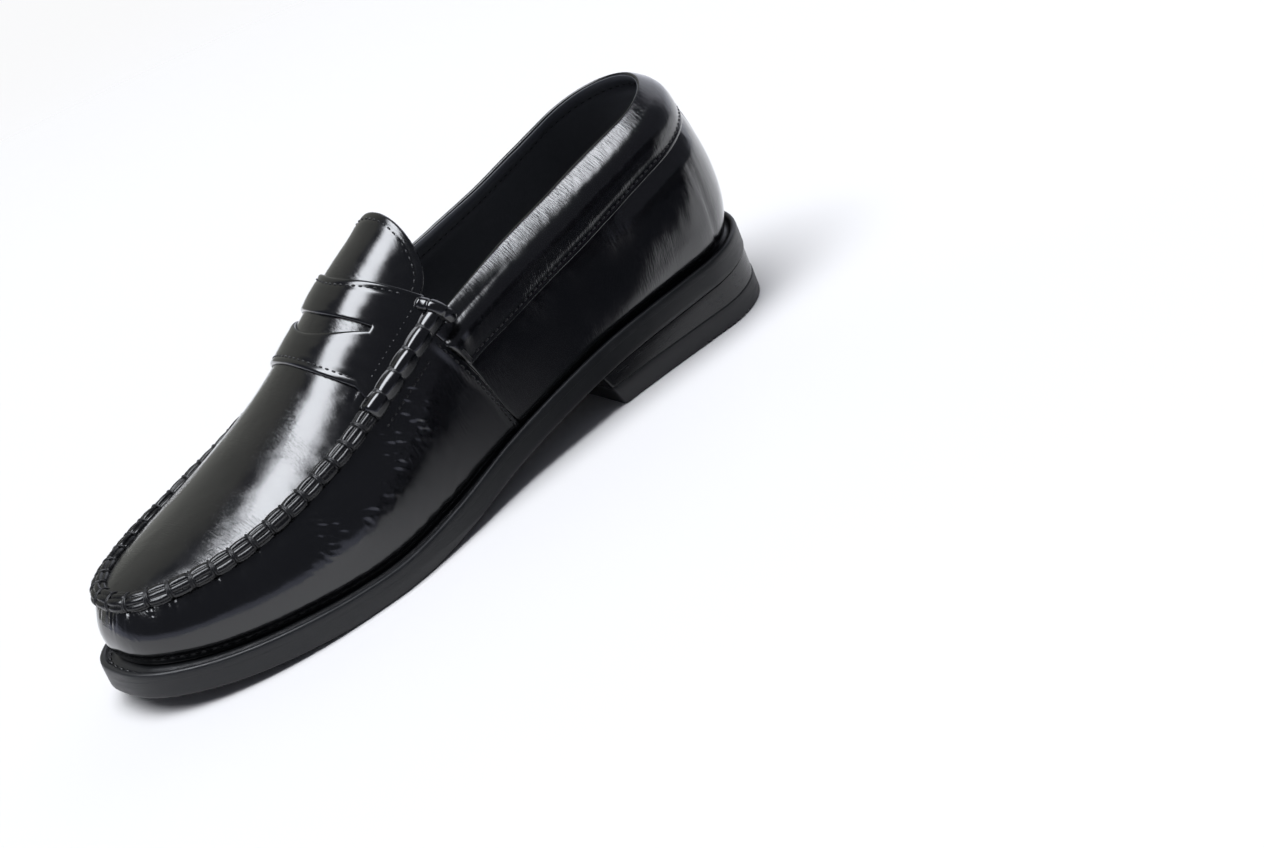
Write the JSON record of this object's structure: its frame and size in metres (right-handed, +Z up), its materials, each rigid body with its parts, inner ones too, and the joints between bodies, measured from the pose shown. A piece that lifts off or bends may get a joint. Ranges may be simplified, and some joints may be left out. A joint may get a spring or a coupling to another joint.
{
  "type": "penny loafer",
  "caption": "Black polished leather slip-on loafer for the left foot with a hand-sewn apron seam, slotted saddle strap, beef rolls and a stacked heel.",
  "frame": {"origin": "centre of the shoe's bounding box in plan, at the level of the surface it stands on", "axes": "+Z up; the toe points to -Y and the heel to +Y; +X is the outer side of a left foot"},
  "size_m": [0.1005, 0.292, 0.1004],
  "materials": {
    "upper_leather": "high gloss black, polished",
    "lining_leather": "smooth, semi-matte",
    "sole_rubber": "satin black",
    "stack_leather": "waxed gloss, fine layers",
    "thread": "waxed black thread",
    "cork": "ground cork, matte",
    "fibreboard": "leather board, matte",
    "stiffener": "stiffening board, matte",
    "foam": "latex foam, matte",
    "steel": "bright steel"
  },
  "bodies": {
    "root": {"top_lift": "sole_rubber", "heel_stack": "stack_leather", "heel_nails": "steel", "outsole": "sole_rubber", "welt": "sole_rubber", "cork_filler": "cork", "shank": "steel", "insole_board": "fibreboard", "sock_liner": "lining_leather", "vamp": "upper_leather", "lateral_quarter": "upper_leather", "heel_panel": "upper_leather", "back_strip": "upper_leather", "collar": "upper_leather", "collar_foam": "foam", "toe_puff": "stiffener", "heel_counter": "stiffener", "vamp_lining": "lining_leather", "quarter_lining": "lining_leather", "apron": "upper_leather", "apron_lining": "lining_leather", "saddle_strap": "upper_leather", "lateral_beef_roll": "upper_leather", "medial_beef_roll": "upper_leather", "roll_bindings": "thread", "moc_seam": "upper_leather", "moc_thread": "thread", "heel_seam_piping": "upper_leather", "strap_stitching": "thread", "tongue_stitching": "thread", "collar_stitching": "thread", "side_seam_stitching": "thread", "heel_seam_stitching": "thread", "welt_stitching": "thread"}
  },
  "joints": []
}
